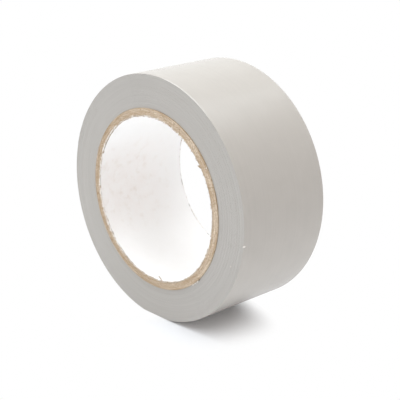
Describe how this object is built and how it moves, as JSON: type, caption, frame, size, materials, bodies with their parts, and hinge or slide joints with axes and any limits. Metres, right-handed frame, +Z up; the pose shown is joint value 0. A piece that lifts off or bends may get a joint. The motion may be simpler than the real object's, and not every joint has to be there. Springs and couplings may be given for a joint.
{
  "type": "tape roll",
  "caption": "Roll of pale vinyl floor tape wound on a paper core, standing on its rim, with a free end that peels off the outer turn.",
  "frame": {"origin": "middle of the core's bore, half way across the tape", "axes": "+Y along the roll's axis from the front side to the back side, +Z up with the roll standing on its rim, +X to the right seen from the front"},
  "size_m": [0.1138, 0.0508, 0.1134],
  "materials": {
    "liner_paper": "smooth white machine-finished paper",
    "kraft_paper": "cut kraft paperboard, fibrous edge",
    "vinyl_tape": "satin soft vinyl film"
  },
  "bodies": {
    "roll": {"core_liner": "liner_paper", "core_ply_1": "kraft_paper", "core_ply_2": "kraft_paper", "core_ply_3": "kraft_paper", "core_ply_4": "kraft_paper", "core_ply_5": "kraft_paper", "core_ply_6": "kraft_paper", "core_ply_7": "kraft_paper", "tape_inner_turns": "vinyl_tape", "tape_outer_turn": "vinyl_tape"},
    "lead_1": {"tape_lead_1": "vinyl_tape"},
    "lead_2": {"tape_lead_2": "vinyl_tape"},
    "lead_3": {"tape_lead_3": "vinyl_tape"},
    "lead_4": {"tape_lead_4": "vinyl_tape"}
  },
  "joints": [
    {"name": "lead_peel_1", "type": "hinge", "parent": "roll", "child": "lead_1", "pos_m": [-0.02927, 0, 0.04901], "axis": [0, 1, 0], "range_deg": [0, 25]},
    {"name": "lead_peel_2", "type": "hinge", "parent": "lead_1", "child": "lead_2", "pos_m": [-0.03812, 0, 0.0425], "axis": [0, 1, 0], "range_deg": [0, 25]},
    {"name": "lead_peel_3", "type": "hinge", "parent": "lead_2", "child": "lead_3", "pos_m": [-0.04556, 0, 0.03442], "axis": [0, 1, 0], "range_deg": [0, 25]},
    {"name": "lead_peel_4", "type": "hinge", "parent": "lead_3", "child": "lead_4", "pos_m": [-0.05131, 0, 0.02507], "axis": [0, 1, 0], "range_deg": [0, 25]}
  ],
  "couplings": [
    {"joint": "lead_peel_2", "follows": "lead_peel_1", "ratio": 1},
    {"joint": "lead_peel_3", "follows": "lead_peel_1", "ratio": 1},
    {"joint": "lead_peel_4", "follows": "lead_peel_1", "ratio": 1}
  ]
}
